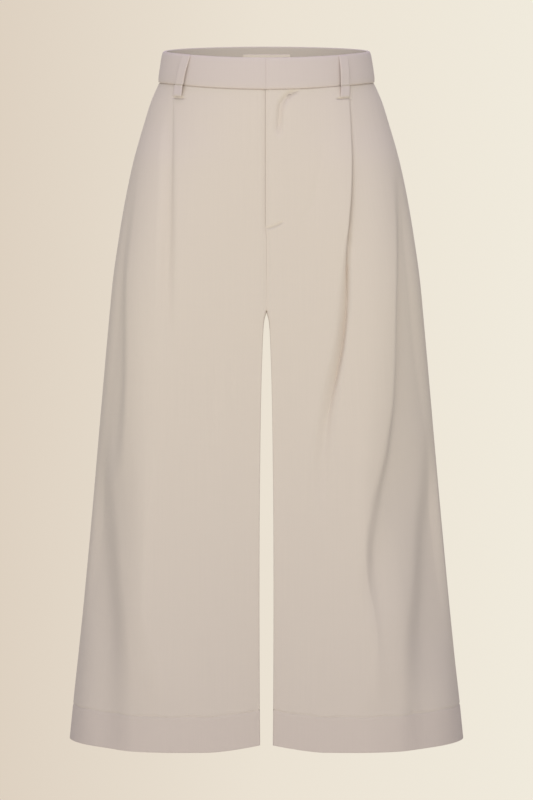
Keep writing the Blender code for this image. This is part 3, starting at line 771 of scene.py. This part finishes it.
def panel_grid(side, front, pleat, folds, creases):
    """A panel's points and those of its hem's inner layer, each with their places on the flat cloth."""
    level = panel_levels()
    x, raised = front_columns(level, pleat, front) if front else back_columns(level)
    level = np.broadcast_to(level, x.shape)
    way_in = trough(x, level, folds)
    for line, half_width, deep in creases:
        way_in = way_in + crease(x, level, line, half_width, deep)
    across = arc_lengths(cloth_points(x, level, raised - way_in, front))
    joined = smooth(level, CROTCH - SEAM_FADE, CROTCH + SEAM_FADE)
    way_in = way_in + seam(across) * joined + seam(across[:, -1:] - across) + hem_line(level, across)
    shift = 0 * x
    if front:
        shift, lapped = lap_fly(x, level, side)
        way_in = way_in + lapped
    way_in = way_in + TOP_TUCK * smooth(level, TOP_TUCK_FROM, PANEL_TOP)
    near = zip(x[:, :INNER_STEPS], across[:, :INNER_STEPS])
    plumb = np.array([np.interp(PLUMB, row_x, row) for row_x, row in near])
    places = np.stack([across - plumb[:, None], level], axis=-1)

    in_hem = (level[:, 0] <= HEM_TURN) & (level[:, 0] >= HEM + HEM_BEND)
    inside = raised[in_hem] - way_in[in_hem] - 2 * HEM_BEND + SHELL
    strip = cloth_points(x[in_hem], level[in_hem], inside, front, side)
    round_x, round_level, out = hem_bend(x, level, raised - way_in)
    points = cloth_points(round_x, round_level, out, front)
    points[round_level[:, 0] >= CROTCH, 0, 0] = 0
    points[:len(shift), :, 0] += shift
    points *= (side, 1, 1)
    round_places = np.concatenate([places, np.repeat(places[-1:], HEM_TURN_STEPS, axis=0)])
    return points, round_places, strip, places[in_hem]


# Columns: name, side of the body, front or back, pleat, folds, creases.
PANELS = (
    ("front_left", 1, FRONT_LEFT, PLEAT_LEFT, FOLDS_FRONT_LEFT, CREASES_FRONT_LEFT),
    ("front_right", -1, FRONT_RIGHT, PLEAT_RIGHT, FOLDS_FRONT_RIGHT, CREASES_FRONT_RIGHT),
    ("back_left", 1, BACK, None, FOLDS_BACK_LEFT, ()),
    ("back_right", -1, BACK, None, FOLDS_BACK_RIGHT, ()),
)


def make_panels(material):
    """The four leg panels, and inside each one's end its turned-up hem."""
    for name, side, front, pleat, folds, creases in PANELS:
        flip = (side < 0) == bool(front)
        points, places, strip, strip_places = panel_grid(side, front, pleat, folds, creases)
        piece = make_sheet(name, points, places, SHELL, material, flip)
        finish_piece(piece, name)
        piece = make_sheet("hem_" + name, strip, strip_places, SHELL, material, flip)
        finish_piece(piece, "hem_" + name)


def flat_grid(left, right, top, end, counts):
    """x and level at an even grid of rows and columns."""
    rows, columns = counts
    return np.meshgrid(np.linspace(left, right, columns), np.linspace(top, end, rows))


FLY_SHIELD_TOP = -0.024
FLY_SHIELD_SIDES = -0.012, 0.040
FLY_SHIELD_OUT = -0.0034


def make_fly_shield(material):
    """The strip behind the fly, from the waist seam to the fly's end."""
    x, level = flat_grid(*FLY_SHIELD_SIDES, FLY_SHIELD_TOP, FLY_END, FLY_SHIELD_GRID)
    points = centred_points(x, level, FLY_SHIELD_OUT, FRONT_LEFT)
    piece = make_sheet("fly_shield", points, np.stack([x, level], axis=-1), SHELL, material, False)
    finish_piece(piece, "fly_shield")


# ---------------- waistband, label and loops


BAND_CORNER = 0.0011
BAND_BULGE = 0.0012
BAND_BULGE_CURVE = 5
BAND_HOLLOW, BAND_HOLLOW_REACH = 0.0009, 0.006  # where its front ends meet
BAND_LAP_REACH = 0.05  # as a share of the half width
BAND_STRETCH = 1.1  # cloth's width for each metre of half width
END_ROUND = 0.0009
END_STRETCH = 1.3
# Close shares of the half width at the ends of the waistband's pieces, and how far the even ones go.
BAND_NEAR = 0, 0.0015, 0.004, 0.008, 0.013
BAND_FAR = 0.9955, 0.998, 0.9993, 1
BAND_EVEN = 0.015, 0.992
BAND_MIDDLE = 0.02  # the back piece has no seam in its middle, and only one ring within this of it
# Columns: name, side of the body, how far its centre end reaches past the middle.
BAND_FRONTS = (
    ("waistband_front_left", 1, 0.0010),
    ("waistband_front_right", -1, -0.0006),
)


def end_insets(away, radius):
    """How far a bar's section draws in near its end, as a quarter circle."""
    left = np.clip(radius - away, 0, radius)
    return radius - np.sqrt(radius**2 - left**2)


def band_rings(shares, front, side, lap=0.0):
    """Rings round the waistband's section at shares of the half width; a share below 0 is mirrored."""
    middle, half_high = (BAND_TOP + WAIST_SEAM) / 2, (BAND_TOP - WAIST_SEAM) / 2
    outline = rounded_outline(half_high, BAND_CLOTH / 2, BAND_CORNER, BAND_OUTLINE_STEPS)
    face = np.maximum(outline[:, 1], 0) / (BAND_CLOTH / 2)
    width = section(1, middle) * BAND_STRETCH
    rings, places = [], []
    for share in shares:
        away = min(abs(share - shares[0]), abs(shares[-1] - share)) * width
        inset = end_insets(away * END_STRETCH, END_ROUND)
        along = outline[:, 0] * (1 - inset / half_high)
        out = outline[:, 1] * (1 - inset / (BAND_CLOTH / 2))
        level = middle + along
        bulge = BAND_BULGE * face * (1 - np.abs(along / half_high) ** BAND_BULGE_CURVE)
        if lap:
            bulge = bulge - BAND_HOLLOW * face * (1 - smooth(abs(share) * width, 0, BAND_HOLLOW_REACH))
        half, inner = section(1, level), inner_edge(level)
        x = inner + (half - inner) * abs(share)
        points = cloth_points(x, level, out - BAND_CLOTH / 2 + bulge, front)
        points[:, 0] *= 1 if share >= 0 else -1
        if share == 0 and not lap:
            points[:, 0] = 0
        points[:, 0] -= lap * (1 - smooth(abs(share), 0, BAND_LAP_REACH))
        rings.append(points * (side, 1, 1))
        places.append(np.stack([np.full_like(along, share * width), along], axis=1))
    return np.array(rings), np.array(places)


def band_shares():
    """Shares of the half width from the centre to the side seam, closer together towards the side."""
    even = np.sin(np.linspace(0.02, 1, BAND_COLUMNS) * math.pi / 2)
    even = even * (BAND_EVEN[1] / even[-1])
    return np.concatenate([BAND_NEAR, even[even > BAND_EVEN[0]], BAND_FAR])


def make_waistband(material):
    """Its two front pieces, which meet at the centre, and the one behind."""
    shares = band_shares()
    for name, side, lap in BAND_FRONTS:
        rings, places = band_rings(shares, FRONT_LEFT, side, lap)
        piece = make_bar(name, rings, places, material, side < 0)
        finish_piece(piece, name)
    both = np.concatenate([-shares[:0:-1], shares])
    both = both[(np.abs(both) > BAND_MIDDLE) | (both == 0)]
    rings, places = band_rings(both, BACK, 1)
    piece = make_bar("waistband_back", rings, places, material, True)
    finish_piece(piece, "waistband_back")


LABEL_HALF_WIDTH = 0.030
LABEL_TOP = 0.0105
LABEL_END = -0.0150
LABEL_CLOTH = 0.0006
LABEL_SLACK = 0.0006
LABEL_RIPPLE = 300  # radians for each metre down


def make_label(material):
    """A blank label on the inside of the back waistband, a little slack between its ends."""
    x, level = flat_grid(-LABEL_HALF_WIDTH, LABEL_HALF_WIDTH, LABEL_TOP, LABEL_END, LABEL_GRID)
    ripple = 0.6 + 0.4 * np.sin(level * LABEL_RIPPLE)
    slack = LABEL_SLACK * np.cos(x / LABEL_HALF_WIDTH * math.pi / 2) * ripple
    points = centred_points(x, level, -(BAND_CLOTH + LAID_GAP) - slack, BACK)
    piece = make_sheet("label", points, np.stack([x, level], axis=-1), LABEL_CLOTH, material, False)
    finish_piece(piece, "label")


LOOP_WIDTH = 0.0128
LOOP_TOP = 0.0192
LOOP_END = -0.0325
LOOP_CORNER = 0.0007
LOOP_BOW = 0.0026
LOOP_END_LIFT = 0.0014  # of the front loops' ends, off the front
BAND_STEP = 0.0011  # from the waistband's lower edge to the panels
# Columns: name, side of the body, x at the top, x at the end, panel behind it.
LOOPS = (
    ("belt_loop_front_left", 1, 0.0907, 0.0923, FRONT_LEFT),
    ("belt_loop_front_right", -1, 0.0947, 0.1050, FRONT_LEFT),
    ("belt_loop_back_left", 1, 0.0780, 0.0800, BACK),
    ("belt_loop_back_right", -1, 0.0780, 0.0800, BACK),
    ("belt_loop_centre_back", 1, 0.0000, 0.0000, BACK),
)


def loop_out(level, front):
    """How far out the middle of a belt loop runs: tacked at both ends and slack between."""
    tacked = smooth(-level, -WAIST_SEAM, -LOOP_END)
    at_end = LOOP_END_LIFT if front else 0.0
    below = np.where(level < WAIST_SEAM, BAND_STEP + (at_end - BAND_STEP) * tacked, 0)
    share = (LOOP_TOP - level) / (LOOP_TOP - LOOP_END)
    return LAID_GAP + LOOP_CLOTH / 2 + below + LOOP_BOW * np.sin(math.pi * share)


def loop_ring(outline, share, top_x, end_x, front, side):
    """Points round a belt loop's section at a share of its length."""
    level = LOOP_TOP + (LOOP_END - LOOP_TOP) * share
    x = top_x + (end_x - top_x) * share
    middle = cloth_points(x, level, loop_out(level, front), front, side)
    near = cloth_points(x - LOOP_WIDTH / 2, level, 0.0, front, side)
    far = cloth_points(x + LOOP_WIDTH / 2, level, 0.0, front, side)
    along = (far - near) / np.linalg.norm(far - near)
    if x == 0:
        middle[0], along = 0, np.array([1.0, 0.0, 0.0])
    out = outward(np.float64(x), np.float64(level), front) * (side, 1, 1)
    inset = end_insets(min(share, 1 - share) * (LOOP_TOP - LOOP_END), LOOP_CORNER)
    across = outline[:, :1] * (1 - inset / (LOOP_WIDTH / 2))
    thick = outline[:, 1:] * (1 - inset / (LOOP_CLOTH / 2))
    place = np.stack([outline[:, 0], np.full(len(outline), level)], axis=1)
    return middle + along * across + out * thick, place


def make_loops(material):
    """The five belt loops."""
    outline = rounded_outline(LOOP_WIDTH / 2, LOOP_CLOTH / 2, LOOP_CORNER, LOOP_OUTLINE_STEPS)
    for name, side, top_x, end_x, front in LOOPS:
        rings, places = zip(*(
            loop_ring(outline, share, top_x, end_x, front, side)
            for share in np.linspace(0, 1, LOOP_ROWS + 1)
        ))
        flip = (side < 0) == bool(front)
        piece = make_bar(name, np.array(rings), np.array(places), material, flip)
        finish_piece(piece, name)


# ---------------- materials


def fill(made, values):
    """Sets a node's values. A name is an input's, with _ for a space, or else a property's."""
    for name, value in values.items():
        key = name.replace("_", " ")
        if key in made.inputs:
            made.inputs[key].default_value = value
        else:
            setattr(made, name, value)
    return made


def node(tree, kind, **values):
    """A new node with these values."""
    return fill(tree.nodes.new(kind), values)


def new_material(name, **values):
    """A material, its nodes and its shader with these values."""
    material = bpy.data.materials.new(name)
    material.use_nodes = True
    tree = material.node_tree
    return material, tree, fill(tree.nodes["Principled BSDF"], values)


def map_range(tree, value, from_range, to_range=(0, 1), **values):
    """The output of a node that maps one range of values to another."""
    made = node(tree, "ShaderNodeMapRange", **values)
    for name, limits in (("From", from_range), ("To", to_range)):
        made.inputs[name + " Min"].default_value = limits[0]
        made.inputs[name + " Max"].default_value = limits[1]
    tree.links.new(value, made.inputs["Value"])
    return made.outputs["Result"]


def thread_noise(tree, place, scale, **values):
    """Noise drawn out along the threads."""
    drawn = node(tree, "ShaderNodeMapping", Scale=scale)
    tree.links.new(place, drawn.inputs["Vector"])
    noise = node(tree, "ShaderNodeTexNoise", Scale=1.0, **values)
    tree.links.new(drawn.outputs["Vector"], noise.inputs["Vector"])
    return noise.outputs["Fac"]


WARP = (620, 9, 1)  # fineness of the threads' noise across the cloth and along it, per metre
WEFT = (14, 700, 1)
WEFT_SHARE = 0.3
HEM_DIMMED = (0.965, 0.955, 0.970, 1)
HEM_DIMMED_BLUR = 0.0010
# Columns: name, colour, how far the threads' tones differ from it, roughness.
CLOTHS = (
    ("sand_cloth", (0.659, 0.574, 0.493), 0.012, 0.9),
    # the waistband's and belt loops' cloth is the sand cloth made darker: painted shade, as the band
    # catches less light
    ("shaded_band_cloth", (0.615, 0.529, 0.485), 0.012, 0.9),
    ("label_cloth", (0.80, 0.69, 0.615), 0.01, 0.6),
)


def make_cloth_material(name, colour, streak, roughness):
    """Matt woven cloth: a fine weave, faint threads that run down it, and a little fuzz."""
    material, tree, shader = new_material(
        name, Roughness=roughness, Specular_IOR_Level=0.25, Sheen_Weight=0.08, Sheen_Roughness=0.5)
    link = tree.links.new
    place = node(tree, "ShaderNodeAttribute", attribute_name="cloth").outputs["Vector"]
    warp = thread_noise(tree, place, WARP, Detail=3.0, Roughness=0.6)
    weft = thread_noise(tree, place, WEFT, Detail=2.0, Roughness=0.5)
    weave = node(tree, "ShaderNodeMix", data_type="FLOAT", Factor=WEFT_SHARE)
    link(warp, weave.inputs["A"])
    link(weft, weave.inputs["B"])
    tone = node(tree, "ShaderNodeMix", data_type="RGBA")
    tone.inputs[6].default_value = (*(c * (1 - streak) for c in colour), 1)
    tone.inputs[7].default_value = (*(c * (1 + streak) for c in colour), 1)
    link(map_range(tree, weave.outputs[0], (0.3, 0.7)), tone.inputs[0])
    # the hem's two layers let less light through
    height = node(tree, "ShaderNodeSeparateXYZ")
    link(place, height.inputs["Vector"])
    rim = HEM_LINE - HEM_DIMMED_BLUR, HEM_LINE + HEM_DIMMED_BLUR
    dimmed = node(tree, "ShaderNodeMix", data_type="RGBA", blend_type="MULTIPLY")
    link(map_range(tree, height.outputs["Y"], rim, (1, 0)), dimmed.inputs[0])
    link(tone.outputs[2], dimmed.inputs[6])
    dimmed.inputs[7].default_value = HEM_DIMMED
    link(dimmed.outputs[2], shader.inputs["Base Color"])
    bump = node(tree, "ShaderNodeBump", Strength=0.25, Distance=0.0002)
    link(weave.outputs[0], bump.inputs["Height"])
    link(bump.outputs["Normal"], shader.inputs["Normal"])
    return material


# ---------------- floor, light and camera

CAMERA_AT = Vector((0.0, -4.0, -0.28))
CAMERA_AIM = Vector((0.0, 0.0, -0.4043))
LENS = 147.6
FLOOR_LEVEL = -1.06
FLOOR_RADIUS = 1.05
FLOOR_COLOUR = (0.80, 0.74, 0.65, 1)
FLOOR_FADE = FLOOR_RADIUS * 0.45, FLOOR_RADIUS * 0.97
BACKDROP = (  # left, middle and right of the view, at these sideways slopes of the view
    (-0.081, (0.730, 0.638, 0.533)),
    (0.0, (0.831, 0.761, 0.651)),
    (0.081, (0.871, 0.823, 0.716)),
)


def make_floor():
    """A pale floor well below the hems, fading out at its rim."""
    bpy.ops.mesh.primitive_circle_add(
        vertices=96, radius=FLOOR_RADIUS, fill_type="NGON", location=(0, -0.12, FLOOR_LEVEL))
    floor = bpy.context.object
    floor.name = "floor"
    material, tree, shader = new_material("floor", Base_Color=FLOOR_COLOUR, Roughness=0.9)
    link = tree.links.new
    place = node(tree, "ShaderNodeTexCoord")
    away = node(tree, "ShaderNodeVectorMath", operation="LENGTH")
    link(place.outputs["Object"], away.inputs[0])
    fade = map_range(tree, away.outputs["Value"], FLOOR_FADE, (1, 0), interpolation_type="SMOOTHSTEP")
    link(fade, shader.inputs["Alpha"])
    floor.data.materials.append(material)


# Soft light from wide lobes of the sky. Columns: axis, which way along it, colour.
LOBES = (
    ("Z", -1, (1.13, 1.10, 0.69)),  # thrown back by a pale floor
    ("Y", -1, (0.530, 0.534, 0.529)),
    ("X", 1, (0.312, 0.316, 0.400)),
    ("X", -1, (0.395, 0.397, 0.477)),
)


def make_world():
    """A pale backdrop that grows lighter from left to right, and a soft light from all round."""
    world = bpy.data.worlds.new("studio")
    bpy.context.scene.world = world
    world.use_nodes = True
    tree = world.node_tree
    link = tree.links.new
    backdrop = tree.nodes["Background"]
    place = node(tree, "ShaderNodeTexCoord")
    way = node(tree, "ShaderNodeSeparateXYZ")
    link(place.outputs["Generated"], way.inputs["Vector"])
    span = map_range(tree, way.outputs["X"], (BACKDROP[0][0], BACKDROP[-1][0]))
    ramp = node(tree, "ShaderNodeValToRGB")
    ramp.color_ramp.elements[0].color = (*BACKDROP[0][1], 1)
    ramp.color_ramp.elements[1].color = (*BACKDROP[-1][1], 1)
    ramp.color_ramp.elements.new(0.5).color = (*BACKDROP[1][1], 1)
    link(span, ramp.inputs["Fac"])
    link(ramp.outputs["Color"], backdrop.inputs["Color"])
    light = None
    for axis, sign, colour in LOBES:
        lobe = node(tree, "ShaderNodeBackground", Color=(*colour, 1))
        link(map_range(tree, way.outputs[axis], (0, sign)), lobe.inputs["Strength"])
        if light is None:
            light = lobe.outputs["Background"]
            continue
        both = node(tree, "ShaderNodeAddShader")
        link(light, both.inputs[0])
        link(lobe.outputs["Background"], both.inputs[1])
        light = both.outputs["Shader"]
    seen = node(tree, "ShaderNodeLightPath")
    mix = node(tree, "ShaderNodeMixShader")
    link(seen.outputs["Is Camera Ray"], mix.inputs["Fac"])
    link(light, mix.inputs[1])
    link(backdrop.outputs["Background"], mix.inputs[2])
    link(mix.outputs["Shader"], tree.nodes["World Output"].inputs["Surface"])


LEGS = (0, 0, -0.35)
INSIDE_OF_BAND = (0, 0.105, 0.012)
# Studio lamps, and a faint one in the waist. Columns: name, place, aim, size, watts, colour.
LIGHTS = (
    ("front", (0, -3.0, 0), LEGS, 2.0, 29.4, (0.975, 0.985, 1.0)),
    ("overhead", (0, 0, 2.4), LEGS, 2.0, 36, (0.88, 0.80, 1.0)),
    ("back", (0, 3.0, 1.0), LEGS, 2.4, 32, (1.0, 0.98, 0.95)),
    ("inside", (0, -0.035, -0.075), INSIDE_OF_BAND, 0.11, 0.08, (0.94, 1.0, 0.74)),
)


def make_lights():
    """Round soft lamps, none of which shows."""
    for name, place, aim, size, watts, colour in LIGHTS:
        light = bpy.data.lights.new(name, "AREA")
        light.shape = "DISK"
        light.size = size
        light.energy = watts
        light.color = colour
        lamp = bpy.data.objects.new(name, light)
        lamp.location = place
        lamp.rotation_euler = (Vector(aim) - Vector(place)).to_track_quat("-Z", "Y").to_euler()
        lamp.visible_camera = False
        bpy.context.scene.collection.objects.link(lamp)


def make_camera():
    """Straight in front, a little above the middle and aimed slightly down."""
    data = bpy.data.cameras.new("camera")
    data.lens = LENS
    camera = bpy.data.objects.new("camera", data)
    camera.location = CAMERA_AT
    camera.rotation_euler = (CAMERA_AIM - CAMERA_AT).to_track_quat("-Z", "Y").to_euler()
    bpy.context.scene.collection.objects.link(camera)
    bpy.context.scene.camera = camera


# ---------------- the garment

sand_cloth, shaded_band_cloth, label_cloth = (make_cloth_material(*cloth) for cloth in CLOTHS)

make_panels(sand_cloth)
make_fly_shield(sand_cloth)
make_waistband(shaded_band_cloth)
make_label(label_cloth)
make_loops(shaded_band_cloth)

make_floor()
make_world()
make_lights()
make_camera()
bpy.context.scene.view_settings.view_transform = "Standard"
